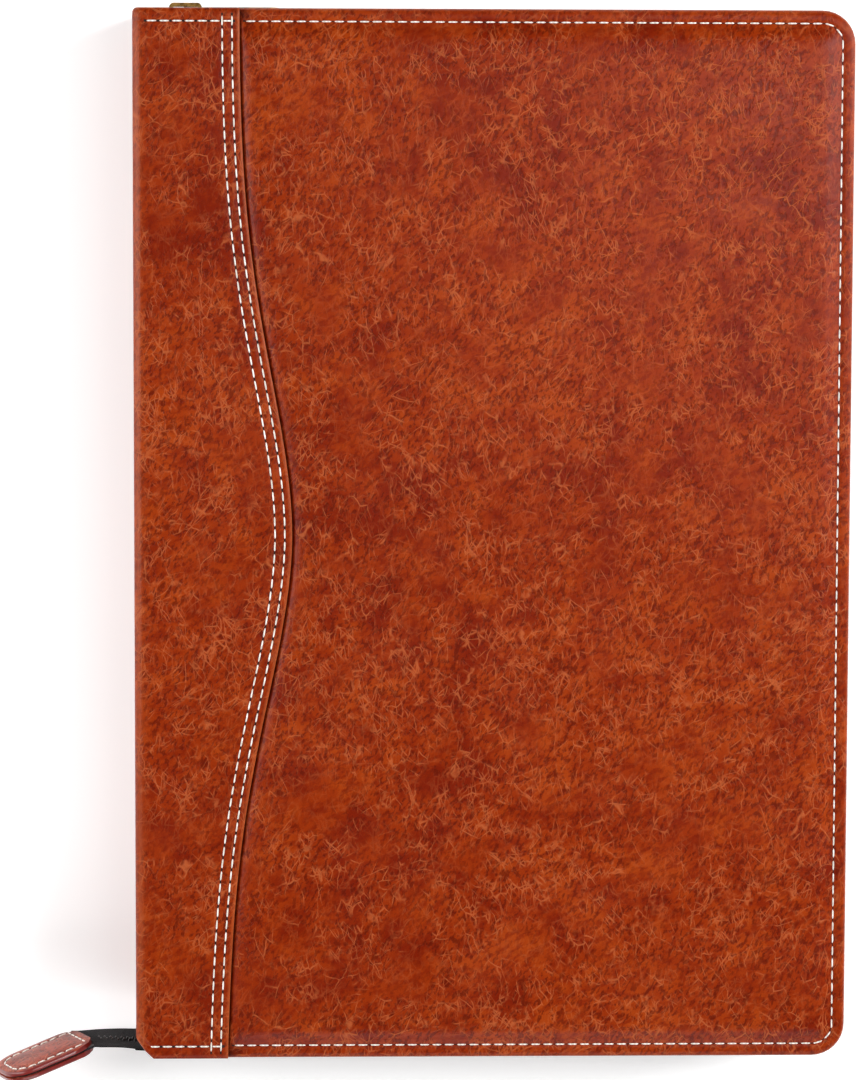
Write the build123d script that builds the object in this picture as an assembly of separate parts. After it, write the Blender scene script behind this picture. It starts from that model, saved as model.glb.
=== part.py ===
from build123d import *
import math
import os

# A bible bound in a padded leather cover that zips shut round three sides.
# It lies on its back cover. +X runs from the spine to the fore edge, +Y from the
# tail of the page to its head, and +Z out of the front cover. The origin is the
# middle of the cover's outline, on the back cover's padded face. Sizes are in mm
# and angles in degrees.

# ---- Sizes: cover outline ----
cover_width = 184.0
cover_height = 270.0
corner_radius = 8.5        # the two corners on the fore edge
tail_notch = 4.5           # the clipped corner that lets the zip's tail out
rim_width = 4.4            # flat stitched rim round the padding
rim_round = 1.5            # rolled edge of the leather
pad_slope = 3.0            # run of the padding's shoulder
pad_corner = 6.0

# ---- Sizes: layers of a cover, from the outer face inwards ----
pad_rise = 0.5             # the padded face stands this far above the wrap
wrap_skin = 1.1            # leather wrapped round the spine
lip_overhang = 0.5         # the wrap turns round the fold this far past the turn-in
panel_skin = 1.1           # leather of the padded panel
skin_clearance = 0.2       # from the leather's inner face to the foam
board_thickness = 1.5
turn_in_thickness = 1.0    # leather folded over the board's edge
lining_thickness = 0.5
paste_thickness = 0.2      # endpaper pasted on the lining
board_inset = 5.2          # from the cover's edge to the board
turn_in_width = 14.0
layer_clearance = 0.3      # at the fold, from one layer's edge to the next layer
lining_wall_gap = 0.3      # from the zip's tape to the lining's edge
lining_step_gap = 1.1      # past the tape's sewn edge the lining lies straight on the board

# ---- Sizes: wrap with the curved edge ----
seam_base = 25.3           # from the spine fold to the curve, away from its bulge
seam_slant = 1.7           # the base line leans this much towards the head
seam_bulge = 15.2
seam_half_length = 62.0    # how far along the cover the bulge fades
seam_power = 1.85
seam_points = 15
seam_gap = 4.0             # from the wrap's edge to the foot of the padding

# ---- Sizes: thread ----
thread_width = 0.6
thread_height = 0.4
rim_seam_inset = 3.4
wrap_seam_insets = (1.9, 4.4)
thread_clearance = 0.5

# ---- Sizes: pages ----
page_fore_gap = 5.9        # from the fore edge to the zip's tape
page_head_gap = 6.1        # from head and tail to the zip's tape
page_corner = 6.0
half_thickness = 12.15     # the pages on each side of the opening
sections_in_half = 6
section_round = 0.45       # of a section's thickness, at its fold
flyleaf_thickness = 0.15
flyleaf_short = 1.0        # the flyleaf stops this far from the pages' fold
mull_thickness = 0.4
mull_short = 12.0          # the spine cloth stops this far from head and tail
mull_clearance = 0.2       # from the line that the pages open on
band_radius = 0.9
ribbon_width = 10.0
ribbon_thickness = 0.2
ribbon_tail = 4.0          # length of ribbon past the pages
ribbon_from_spine = 22.0
ribbon_lean = 2.5
page_clearance = 0.3       # between pages and covers
opening_gap = 0.3          # between the two halves, above the ribbon

# ---- Sizes: spine ----
spine_skin = 1.1
spine_board_thickness = 1.4
spine_lining_thickness = 0.5
spine_head_gap = 0.8       # the spine stops short of the cover's head
spine_tail_gap = 6.5       # and of its tail, over the zip's tail
fold_gap = 0.3             # between the leather of a cover and of the spine
fold_round = 2.4
hollow_back = 1.6          # between the spine's lining and the pages

# ---- Sizes: zip ----
wall_inset = 2.6           # from the cover's edge to the middle of the tape
tape_thickness = 0.6
flange_width = 5.0         # tape sewn in between leather and lining
coil_width = 1.85          # of one row of teeth
coil_thickness = 1.8
coil_gap = 0.05            # from each row to the middle of the zip
tape_start = 4.0           # from the spine fold to the tape's ends
stop_length = 2.4
stop_height = 2.4
stop_thickness = 1.2
stop_gap = 0.3             # beside each end of a stop

# ---- Sizes: slider and pull ----
slider_length = 12.0
slider_width = 9.0
slider_plate = 1.0
slider_play = 0.2
slider_corner = 1.6
wedge_length = 2.4
wedge_width = 2.4
wedge_from_end = 0.4
lip_drop = 0.45
lip_width = 0.9
lip_from_mouth = 3.0       # the lips stop this far from the slider's wide end
lip_from_back = 1.8
bridge_length = 8.4
bridge_width = 2.2
bridge_bar = 1.0
bridge_rise = 2.6
bridge_round = 1.2
pull_length = 24.0
pull_width = 6.4
pull_thickness = 1.2
pull_arm = 1.6             # width of the pull beside the bridge
pull_round = 2.4
pull_axle_radius = 0.7
pull_hole = 6.0            # length of the hole that clears the bridge
pull_play = 0.15
grip_grooves = 4
grip_pitch = 2.4
grip_radius = 0.6
grip_depth = 0.25
grip_from_hole = 3.0

# ---- Sizes: tail of the zip ----
tail_from_fold = 3.2
tail_out = 1.6             # the tail's middle lies this far outside the tape's wall
tail_length = 17.0
tail_clearance = 1.3       # from the tape's edges to the covers' folds
tail_width_at_tab = 17.0
tail_yaw = -1.0
tail_pitch = -3.0
tail_roll = -1.0
tab_length = 24.6
tab_width = 19.0
tab_skin = 1.2
tab_round = 7.0
tab_edge_round = 0.4
tab_yaw = 19.0
tab_pitch = 23.0
tab_roll = -6.5
tab_gap = 2.2              # from the end of the tape to the tab's mouth
tab_core_inset = 1.0
tab_seam_inset = 2.4
tab_thread_height = 0.3
bottom_stop_length = 3.0
bottom_stop_width = 5.0
bottom_stop_from_mouth = 6.0

# ---- Worked out from the sizes above ----
wrap_depth = pad_rise
rim_depth = wrap_depth + wrap_skin
board_depth = rim_depth + panel_skin
board_inner = board_depth + board_thickness
turn_in_inner = board_inner + turn_in_thickness
flange_inner = turn_in_inner + tape_thickness
cover_depth = flange_inner + lining_thickness
lip_depth = turn_in_inner + lip_overhang
page_depth = cover_depth + page_clearance
ribbon_low = page_depth + half_thickness
thickness = 2 * ribbon_low + ribbon_thickness + opening_gap
middle = thickness / 2
fold_x = -cover_width / 2
fore_x = cover_width / 2
head_y = cover_height / 2
tail_y = -cover_height / 2
panel_fold_inset = wrap_skin + layer_clearance
board_fold_inset = panel_fold_inset + layer_clearance
spine_depth = spine_skin + spine_board_thickness + spine_lining_thickness
lining_fold_inset = spine_depth + layer_clearance
page_pivot_x = fold_x + spine_depth + hollow_back
page_x = page_pivot_x + mull_clearance + mull_thickness
page_width = fore_x - wall_inset - tape_thickness / 2 - page_fore_gap - page_x
page_height = 2 * (head_y - wall_inset - tape_thickness / 2 - page_head_gap)
tape_outer_inset = wall_inset - tape_thickness / 2
tape_inner_inset = wall_inset + tape_thickness / 2
lining_inset = tape_inner_inset + lining_wall_gap
lining_step_inset = tape_inner_inset + flange_width + lining_step_gap
coil_reach = coil_gap + coil_width
slider_x = fold_x + tape_start + stop_length + 2 * stop_gap + slider_length / 2
slider_y = head_y - wall_inset
slider_throat = coil_thickness / 2 + slider_play
slider_outside = slider_throat + slider_plate
pull_y = slider_y + slider_outside + pull_play + pull_thickness / 2
tail_width_at_cover = 2 * (middle - lip_depth - tail_clearance)


def slab(face, low, high):
    """A flat face on XY made into a solid from height low to height high."""
    return Pos(0, 0, low) * extrude(face, high - low)


def layer(face, outer, inner):
    """The same, for a layer of the front cover between two depths from its outer face."""
    return slab(face, thickness - inner, thickness - outer)


def block(x_range, y_range, z_range):
    """A box given by its limits along each axis."""
    size = [high - low for low, high in (x_range, y_range, z_range)]
    centre = [(high + low) / 2 for low, high in (x_range, y_range, z_range)]
    return Pos(*centre) * Box(*size)


def to_back(part):
    """A piece of the front cover, mirrored to the back cover."""
    return mirror(part, about=Plane.XY.offset(middle))


# ---- Outlines ----

def cover_face(inset, fold_inset=0.0):
    """The cover's outline, taken in by inset on three sides and by fold_inset at the spine."""
    left = fold_x + fold_inset
    right = fore_x - inset
    top = head_y - inset
    bottom = tail_y + inset
    clip = tail_notch + inset * math.sqrt(2)
    points = [(right, bottom), (right, top), (left, top)]
    if clip - inset > fold_inset:
        points += [(left, tail_y + clip - fold_inset), (fold_x + clip - inset, bottom)]
    else:
        points += [(left, bottom)]
    face = make_face(Polyline(*points, close=True))
    fore_corners = [v for v in face.vertices() if v.X > 0]
    return fillet(fore_corners, max(corner_radius - inset, 1.0))


def band_face(outer_inset, inner_inset, start):
    """A U-shaped band along head, fore edge and tail, with its ends this far from the fold."""
    ring = cover_face(outer_inset) - cover_face(inner_inset, -start)
    return ring - Pos(fold_x, 0) * Rectangle(2 * start, 2 * cover_height)


def seam_x(y):
    """Where the wrap's curved edge is at height y."""
    lean = seam_slant * y / head_y
    bulge = seam_bulge * math.exp(-((abs(y) / seam_half_length) ** seam_power))
    return fold_x + seam_base + lean + bulge


def seam_curve(shift, low, high):
    """The curved edge moved sideways by shift, square to itself, from low to high."""
    points = []
    for i in range(seam_points):
        y = low + (high - low) * i / (seam_points - 1)
        slope = seam_x(y + 0.5) - seam_x(y - 0.5)
        points.append((seam_x(y) + shift * math.hypot(1, slope), y))
    return Spline(*points)


def wrap_face(shift=0.0):
    """The wrap on a cover, from the spine fold to the curved edge."""
    curve = seam_curve(shift, tail_y, head_y)
    rest = Polyline(curve @ 1, (fold_x, head_y), (fold_x, tail_y), curve @ 0)
    return make_face([curve, *rest.edges()])


def pad_face(inset):
    """The padded area inside the rim and the curved seam, taken in by inset."""
    edge = rim_width + inset
    low, high = tail_y + edge, head_y - edge
    curve = seam_curve(seam_gap + inset, low, high)
    rest = FilletPolyline(curve @ 1, (fore_x - edge, high), (fore_x - edge, low), curve @ 0,
                          radius=pad_corner)
    return make_face([curve, *rest.edges()])


def pad_shape(inset, outer, inner):
    """The padding's crowned block, between two depths."""
    foot = Pos(0, 0, thickness - inner) * pad_face(inset)
    crown = Pos(0, 0, thickness - outer) * pad_face(inset + pad_slope)
    return loft([foot, crown], ruled=True)


# ---- One cover, built as the front ----

def leather_panel():
    """Padded panel with its rolled rim and the turn-in glued behind the board."""
    sheet = layer(cover_face(0, panel_fold_inset), rim_depth, turn_in_inner)
    levels = (thickness - rim_depth, thickness - turn_in_inner)
    rolled = [e for e in sheet.edges()
              if min(abs(e.center().Z - z) for z in levels) < 0.01 and e.center().X > fold_x + fold_round]
    leather = fillet(rolled, rim_round) + pad_shape(0, 0, rim_depth)
    leather -= foam_block()
    leather -= layer(cover_face(board_inset), board_depth, board_inner)
    return leather - layer(cover_face(turn_in_width), board_inner, turn_in_inner)


def foam_block():
    """The foam under the panel's leather."""
    return pad_shape(panel_skin + skin_clearance, panel_skin, board_depth)


def board():
    return layer(cover_face(board_inset, board_fold_inset), board_depth, board_inner)


def infill_card():
    """Card that levels the turn-ins behind the board."""
    return layer(cover_face(turn_in_width, board_fold_inset), board_inner, turn_in_inner)


def lining():
    """Lining cloth, stepped over the zip's sewn-in edge."""
    step = lining_step_inset
    plate = layer(cover_face(step, lining_fold_inset), turn_in_inner, flange_inner)
    ring = cover_face(lining_inset, lining_fold_inset) - cover_face(step + layer_clearance, -1)
    return plate + layer(ring, flange_inner, cover_depth)


def pastedown():
    """Endpaper pasted inside the lining's step."""
    face = cover_face(lining_step_inset + 2 * layer_clearance, lining_fold_inset + layer_clearance)
    return layer(face, flange_inner, flange_inner + paste_thickness)


def wrap_leather():
    """The wrap's part on a cover, with the lip that turns round the spine fold."""
    lip = block((fold_x, fold_x + wrap_skin), (tail_y, head_y),
                (thickness - lip_depth, thickness - wrap_depth))
    wrap = layer(wrap_face(), wrap_depth, rim_depth) + lip
    folds = [e for e in wrap.edges().filter_by(Axis.Y) if e.center().X < fold_x + 0.01]
    wrap = fillet(max(folds, key=lambda e: e.center().Z), fold_round)
    return wrap & slab(cover_face(0), 0, thickness)


def rim_thread():
    """Thread of the seam that closes the rim: over the panel, then over the wrap."""
    half = thread_width / 2
    band = band_face(rim_seam_inset - half, rim_seam_inset + half, fold_round)
    threads = layer(band - wrap_face(thread_clearance), rim_depth - thread_height, rim_depth).solids()
    top = thickness - wrap_depth
    start = fold_x + tail_notch + fold_round
    stop_short = wrap_seam_insets[1] + thread_width + thread_clearance
    for side in (1, -1):
        y = side * (head_y - rim_seam_inset)
        end = seam_x(side * head_y) - stop_short
        threads.append(block((start, end), (y - half, y + half), (top, top + thread_height)))
    return Compound(threads)


def wrap_thread():
    """The two threads that sew the curved edge down."""
    margin = rim_seam_inset + thread_width / 2 + thread_clearance
    low, high = tail_y + margin, head_y - margin
    top = thickness - wrap_depth
    threads = []
    for inset in wrap_seam_insets:
        near = seam_curve(-inset + thread_width / 2, low, high)
        far = seam_curve(-inset - thread_width / 2, low, high)
        face = make_face([near, Line(near @ 1, far @ 1), far, Line(far @ 0, near @ 0)])
        threads += slab(face, top, top + thread_height).solids()
    return Compound(threads)


# ---- Zip ----

def zip_tape():
    """Woven tape: a wall round three sides and the edge that is sewn into the cover."""
    wall = band_face(tape_outer_inset, tape_inner_inset, tape_start)
    flange = band_face(tape_outer_inset, tape_inner_inset + flange_width, tape_start)
    return (slab(wall, middle + coil_reach, thickness - turn_in_inner)
            + layer(flange, turn_in_inner, flange_inner))


def zip_teeth():
    """A row of zip teeth along the tape's free edge, up to the slider at the head."""
    half = coil_thickness / 2
    face = band_face(wall_inset - half, wall_inset + half, tape_start)
    unzipped = block((fold_x, slider_x), (0, cover_height), (0, thickness))
    return slab(face, middle + coil_gap, middle + coil_reach) - unzipped


def top_stop():
    """Metal clip on the tape's edge where the teeth end."""
    x_range = (fold_x + tape_start + stop_gap, fold_x + tape_start + stop_gap + stop_length)
    edge = middle + coil_reach
    low = edge - (stop_thickness - tape_thickness)
    half = stop_thickness / 2
    slot = tape_thickness / 2
    clip = block(x_range, (slider_y - half, slider_y + half), (low, low + stop_height))
    return clip - block(x_range, (slider_y - slot, slider_y + slot), (edge, low + stop_height))


def slider_body():
    """Slider that clasps both rows of teeth, with the bridge that holds the pull."""
    mouth_x = slider_x - slider_length / 2
    back_x = slider_x + slider_length / 2
    half_z = slider_width / 2
    body = block((mouth_x + wedge_from_end, mouth_x + wedge_from_end + wedge_length),
                 (slider_y - slider_throat, slider_y + slider_throat),
                 (middle - wedge_width / 2, middle + wedge_width / 2))
    for side in (1, -1):
        inner, outer = slider_y + side * slider_throat, slider_y + side * slider_outside
        plate = block((mouth_x, back_x), sorted((inner, outer)), (middle - half_z, middle + half_z))
        body += fillet(plate.edges().filter_by(Axis.Y), slider_corner)
        for edge in (1, -1):
            z_range = sorted((middle + edge * half_z, middle + edge * (half_z - lip_width)))
            body += block((mouth_x + lip_from_mouth, back_x - lip_from_back),
                          sorted((inner, inner - side * lip_drop)), z_range)
    return body + slider_bridge()


def slider_bridge():
    """Square loop on the slider's outer plate."""
    half, wide = bridge_length / 2, bridge_width / 2
    low, high = slider_y + slider_outside, slider_y + slider_outside + bridge_rise
    loop = block((slider_x - half, slider_x + half), (low, high), (middle - wide, middle + wide))
    loop = fillet(loop.edges().filter_by(Axis.Z).group_by(Axis.Y)[-1], bridge_round)
    return loop - block((slider_x - half + bridge_bar, slider_x + half - bridge_bar),
                        (low, high - bridge_bar), (middle - wide, middle + wide))


def slider_pull():
    """Flat pull lying along the zip, its axle through the bridge."""
    half_y, half_z = pull_thickness / 2, pull_width / 2
    plate = block((slider_x, slider_x + pull_length), (pull_y - half_y, pull_y + half_y),
                  (middle - half_z, middle + half_z))
    plate = fillet(plate.edges().filter_by(Axis.Y).group_by(Axis.X)[-1], pull_round)
    hole = half_z - pull_arm
    plate -= block((slider_x, slider_x + pull_hole), (pull_y - half_y, pull_y + half_y),
                   (middle - hole, middle + hole))
    for i in range(grip_grooves):
        x = slider_x + pull_hole + grip_from_hole + grip_pitch * i
        for side in (1, -1):
            y = pull_y + side * (half_y + grip_radius - grip_depth)
            plate -= Pos(x, y, middle) * Cylinder(grip_radius, pull_width - pull_arm)
    return plate + Pos(slider_x, pull_y, middle) * Cylinder(pull_axle_radius, pull_width)


# ---- Tail of the zip: a stub of tape, then a stitched leather tab ----

def hung_frame(origin, yaw, pitch, roll):
    """A frame pointing away from the spine: X along the tail, Y across it, Z out of its inner side."""
    level = Plane(origin, x_dir=(-1, 0, 0), z_dir=(0, 1, 0)).location
    return level * Rot(0, yaw, 0) * Rot(0, 0, pitch) * Rot(roll, 0, 0)


def tail_frame():
    """Where the tail leaves the cover."""
    origin = (fold_x + tail_from_fold, tail_y + wall_inset - tail_out, middle)
    return hung_frame(origin, tail_yaw, tail_pitch, tail_roll)


def tab_frame():
    """Where the tab hinges on the tape."""
    mouth = tail_frame() * Pos(tail_length, 0, 0)
    return hung_frame(mouth.position, tab_yaw, tab_pitch, tab_roll)


def tail_end(across):
    """How far along the tail its tape ends, in line with the tab's mouth."""
    return tail_length - tab_gap + across * math.tan(math.radians(tail_pitch - tab_pitch))


def tail_tape():
    """Both tapes of the zip, side by side, narrowing to the tab."""
    halves = []
    for side in (1, -1):
        inner = side * coil_reach
        wide, narrow = side * tail_width_at_cover / 2, side * tail_width_at_tab / 2
        face = make_face(Polyline((0, inner), (tail_end(inner), inner), (tail_end(narrow), narrow),
                                  (0, wide), close=True))
        halves += slab(face, -tape_thickness / 2, tape_thickness / 2).solids()
    return tail_frame() * Compound(halves)


def tail_teeth():
    """The teeth between the tail's two tapes."""
    half = coil_thickness / 2
    end = min(tail_end(coil_reach), tail_end(-coil_reach)) - half
    rows = []
    for side in (1, -1):
        across = sorted((side * coil_gap, side * coil_reach))
        rows += block((0, end), across, (-half, half)).solids()
    return tail_frame() * Compound(rows)


def tab_face(inset):
    """The tab's outline, square at the mouth and rounded at its free end."""
    half = tab_width / 2 - inset
    end = tab_length - inset
    face = make_face(Polyline((inset, -half), (end, -half), (end, half), (inset, half), close=True))
    free_corners = [v for v in face.vertices() if v.X > tab_length / 2]
    return fillet(free_corners, tab_round - inset)


def tab_leather(side):
    """One of the tab's two leather sides."""
    inner = side * tape_thickness / 2
    outer = inner + side * tab_skin
    ply = slab(tab_face(0), min(inner, outer), max(inner, outer))
    rim = [e for e in ply.edges() if abs(e.center().Z - outer) < 0.01]
    return tab_frame() * fillet(rim, tab_edge_round)


def bottom_stop():
    """Metal stop where the teeth begin, sealed in the tab."""
    x, half_y, half_z = bottom_stop_from_mouth, bottom_stop_width / 2, tape_thickness / 2
    return tab_frame() * block((x, x + bottom_stop_length), (-half_y, half_y), (-half_z, half_z))


def tab_core():
    """The tape's end between the tab's two sides, cut out for the bottom stop."""
    tape_end = slab(tab_face(tab_core_inset), -tape_thickness / 2, tape_thickness / 2)
    return tab_frame() * tape_end - bottom_stop()


def tab_thread():
    """Thread round the edge of the tab, on both its sides."""
    half = thread_width / 2
    ring = tab_face(tab_seam_inset - half) - tab_face(tab_seam_inset + half)
    face = tape_thickness / 2 + tab_skin
    rings = slab(ring, face, face + tab_thread_height).solids()
    rings += slab(ring, -face - tab_thread_height, -face).solids()
    return tab_frame() * Compound(rings)


# ---- Spine ----

def spine_layer(outer, inner):
    """A layer of the spine between two depths from its outer face."""
    low = lip_depth + fold_gap
    return block((fold_x + outer, fold_x + inner),
                 (tail_y + spine_tail_gap, head_y - spine_head_gap), (low, thickness - low))


# ---- Pages ----

def leaf_face(short=0.0):
    """A page's outline with rounded fore corners, cut short at the fold."""
    width = page_width - short
    face = Pos(page_x + short + width / 2, 0) * Rectangle(width, page_height)
    fore_corners = [v for v in face.vertices() if v.X > 0]
    return fillet(fore_corners, page_corner)


def page_block(low, high):
    """Sewn sections, one on another, each with its round fold at the spine."""
    section = (high - low) / sections_in_half
    sections = []
    for i in range(sections_in_half):
        gather = slab(leaf_face(), low + i * section, low + (i + 1) * section)
        folds = gather.edges().filter_by(Axis.Y).group_by(Axis.X)[0]
        sections += fillet(folds, section * section_round).solids()
    return Compound(sections)


def mull(low, high):
    """Cloth glued over the folds of the sections."""
    reach = page_height / 2 - mull_short
    return block((page_x - mull_thickness, page_x), (-reach, reach),
                 (low + mull_clearance, high - mull_clearance))


def head_bands(low, high):
    """Woven beads at the head and tail of the page folds."""
    bands = []
    for side in (1, -1):
        y = side * (page_height / 2 + band_radius)
        bead = Cylinder(band_radius, high - low - 2 * mull_clearance)
        bands += (Pos(page_x + band_radius, y, (low + high) / 2) * bead).solids()
    return Compound(bands)


def ribbon():
    """Page marker lying on the lower half of the pages."""
    strip = block((-ribbon_width / 2, ribbon_width / 2), (-page_height / 2 - ribbon_tail, page_height / 2),
                  (ribbon_low, ribbon_low + ribbon_thickness))
    return Pos(page_x + ribbon_from_spine, 0, 0) * Rot(0, 0, ribbon_lean) * strip


def build():
    """Every piece, by the name of its node."""
    pieces = {}
    cover = {
        "leather_panel": leather_panel(),
        "foam_pad": foam_block(),
        "board": board(),
        "infill_card": infill_card(),
        "lining": lining(),
        "pastedown": pastedown(),
        "flyleaf": layer(leaf_face(flyleaf_short), page_depth, page_depth + flyleaf_thickness),
        "wrap_leather": wrap_leather(),
        "rim_thread": rim_thread(),
        "wrap_thread": wrap_thread(),
        "zip_tape": zip_tape(),
        "zip_teeth": zip_teeth(),
        "top_stop": top_stop(),
    }
    for name, piece in cover.items():
        pieces["front_" + name] = piece
        pieces["back_" + name] = to_back(piece)
    leaf_depth = page_depth + flyleaf_thickness
    halves = {"back": (leaf_depth, ribbon_low), "front": (thickness - ribbon_low, thickness - leaf_depth)}
    for name, (low, high) in halves.items():
        pieces[name + "_pages"] = page_block(low, high)
        pieces[name + "_mull"] = mull(low, high)
        pieces[name + "_head_bands"] = head_bands(low, high)
    pieces["ribbon_marker"] = ribbon()
    pieces["spine_leather"] = spine_layer(0, spine_skin)
    pieces["spine_board"] = spine_layer(spine_skin, spine_skin + spine_board_thickness)
    pieces["spine_lining"] = spine_layer(spine_skin + spine_board_thickness, spine_depth)
    pieces["slider_body"] = slider_body()
    pieces["slider_pull"] = slider_pull()
    pieces["tail_tape"] = tail_tape()
    pieces["tail_teeth"] = tail_teeth()
    pieces["tab_outer_leather"] = tab_leather(-1)
    pieces["tab_inner_leather"] = tab_leather(1)
    pieces["tab_core_tape"] = tab_core()
    pieces["tab_bottom_stop"] = bottom_stop()
    pieces["tab_thread"] = tab_thread()
    return pieces


os.makedirs("parts", exist_ok=True)
for node, shape in build().items():
    export_step(shape, f"parts/{node}.step")
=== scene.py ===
# %% [markdown]
# # A book in a zip-around leather cover
# The object is a thick book whose padded leather cover closes with a zip on three sides. The rigid
# layers come from the CAD frame. Here the leather, thread, tape, zip teeth and ribbon are made round
# it, in metres and in the same frame: +X from spine to fore edge, +Y to the head, +Z out of the front.

# %% Load the frame
import math
import bmesh
import bpy
from mathutils import Matrix, Vector


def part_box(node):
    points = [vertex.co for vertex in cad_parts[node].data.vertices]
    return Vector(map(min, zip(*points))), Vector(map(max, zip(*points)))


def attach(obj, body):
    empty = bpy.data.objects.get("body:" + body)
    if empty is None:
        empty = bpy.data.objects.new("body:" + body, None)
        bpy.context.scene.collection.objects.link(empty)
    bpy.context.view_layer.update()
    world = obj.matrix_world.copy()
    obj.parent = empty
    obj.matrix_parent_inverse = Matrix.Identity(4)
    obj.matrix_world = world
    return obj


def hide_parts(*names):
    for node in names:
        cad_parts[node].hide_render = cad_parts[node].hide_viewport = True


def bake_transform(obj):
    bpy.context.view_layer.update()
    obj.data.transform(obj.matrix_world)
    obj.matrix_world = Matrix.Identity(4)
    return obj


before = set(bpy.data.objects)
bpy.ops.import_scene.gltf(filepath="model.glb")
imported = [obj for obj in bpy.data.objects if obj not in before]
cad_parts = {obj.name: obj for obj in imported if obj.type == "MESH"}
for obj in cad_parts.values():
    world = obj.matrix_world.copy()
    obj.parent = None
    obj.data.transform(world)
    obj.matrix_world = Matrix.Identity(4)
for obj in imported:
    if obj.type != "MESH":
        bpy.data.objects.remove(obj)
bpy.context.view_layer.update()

mm = 0.001

# %% [markdown]
# The cover's outline gives every other size. It is read from the CAD boxes, so that a piece made here
# lands where its CAD solid is. A depth is measured inwards from the padded face of either cover.

# %% Read the main sizes from the frame
panel_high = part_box("front_leather_panel")[1]
fold_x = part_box("front_wrap_leather")[0].x
fore_x, head_y, top_z = panel_high.x, panel_high.y, panel_high.z
middle_z = top_z / 2
corner_radius = 8.5 * mm
wrap_depth = top_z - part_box("front_wrap_leather")[1].z
rim_depth = 1.6 * mm
foam_depth = top_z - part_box("front_board")[1].z
turn_depth = 5.2 * mm
turn_inner = 5.2 * mm
roll = 1.5 * mm
print("cover", fore_x - fold_x, "by", 2 * head_y, "thick", top_z)

# %% [markdown]
# The camera looks almost straight down on the front cover from a metre away with a long lens, as
# goods are shown in a catalogue. It leans a little, so the head of the cover is nearer than the tail.

# %% Camera
sensor, long_lens = 24.0, 83.842
camera_data = bpy.data.cameras.new("product_camera")
camera_data.sensor_fit = "VERTICAL"
camera_data.sensor_height = sensor
camera_data.lens = long_lens
camera = bpy.data.objects.new("product_camera", camera_data)
camera.location = (-0.0448, 0.0817, 1.0)
camera.rotation_euler = (math.radians(-4.86), math.radians(-1.71), math.radians(0.15))
bpy.context.scene.collection.objects.link(camera)
bpy.context.scene.camera = camera
print("lens", round(camera_data.lens, 1))

# %% [markdown]
# The floor is a plain pale sheet that gives off a little light, so that it stays white in the shade.
# Two long soft lights stand low at the sides, as in a small product studio, and the one at the fore
# edge is stronger. A large weak one beyond the foot fills the shadows, and a narrow strip high on the
# right puts a soft shine on the shoulder of the padding.

# %% Floor and lights
def clear_selection():
    """Nothing selected, so that the next operator acts only on what it is given."""
    if bpy.context.object and bpy.context.object.mode != "OBJECT":
        bpy.ops.object.mode_set(mode="OBJECT")
    bpy.ops.object.select_all(action="DESELECT")


def soft_light(name, place, aim, size, power):
    """A rectangular light at place, facing aim."""
    light = bpy.data.lights.new(name, "AREA")
    light.shape = "RECTANGLE"
    light.size, light.size_y = size
    light.energy = power
    lamp = bpy.data.objects.new(name, light)
    lamp.location = place
    lamp.rotation_euler = (Vector(aim) - Vector(place)).to_track_quat("-Z", "Y").to_euler()
    bpy.context.scene.collection.objects.link(lamp)
    return lamp


clear_selection()
bpy.ops.mesh.primitive_plane_add(size=6)
floor = bpy.context.object
floor.name = "studio_floor"
floor.location.z = -0.0004
white = bpy.data.materials.new("matt_white_floor")
white.use_nodes = True
floor_finish = white.node_tree.nodes["Principled BSDF"].inputs
floor_finish["Base Color"].default_value = (0.9, 0.9, 0.9, 1)
floor_finish["Roughness"].default_value = 0.9
floor_finish["Emission Color"].default_value = (1, 1, 1, 1)
floor_finish["Emission Strength"].default_value = 0.3
floor.data.materials.append(white)
soft_light("fore_edge_softbox", (0.90, 0.30, 0.46), (0.02, 0.03, 0), (0.4, 1.3), 13.5)
soft_light("spine_softbox", (-0.92, 0.1, 0.48), (-0.02, 0, 0), (0.4, 1.3), 10.0)
soft_light("foot_softbox", (0.1, -1.35, 0.95), (0, 0, 0), (1.6, 0.7), 10.5)
soft_light("shoulder_strip", (0.42, 0.22, 1.05), (0.06, 0.05, 0), (0.06, 0.7), 2.9)
world = bpy.data.worlds.new("studio_air")
world.use_nodes = True
world.node_tree.nodes["Background"].inputs["Color"].default_value = (1, 1, 1, 1)
world.node_tree.nodes["Background"].inputs["Strength"].default_value = 0.16
bpy.context.scene.world = world
bpy.context.scene.view_settings.view_transform = "Standard"

# %% [markdown]
# Every finish here is wired from the same few nodes. The Wiring helper adds a node, feeds its sockets
# and hands back an output, so a finish reads as a short list of steps instead of a wall of node calls.

# %% A helper that wires materials
def tone(red, green, blue):
    """A colour given as 0 to 255 values, as the linear colour that a shader works in."""
    def linear(value):
        value /= 255
        return value / 12.92 if value <= 0.04045 else ((value + 0.055) / 1.055) ** 2.4
    return (linear(red), linear(green), linear(blue), 1.0)


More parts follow.
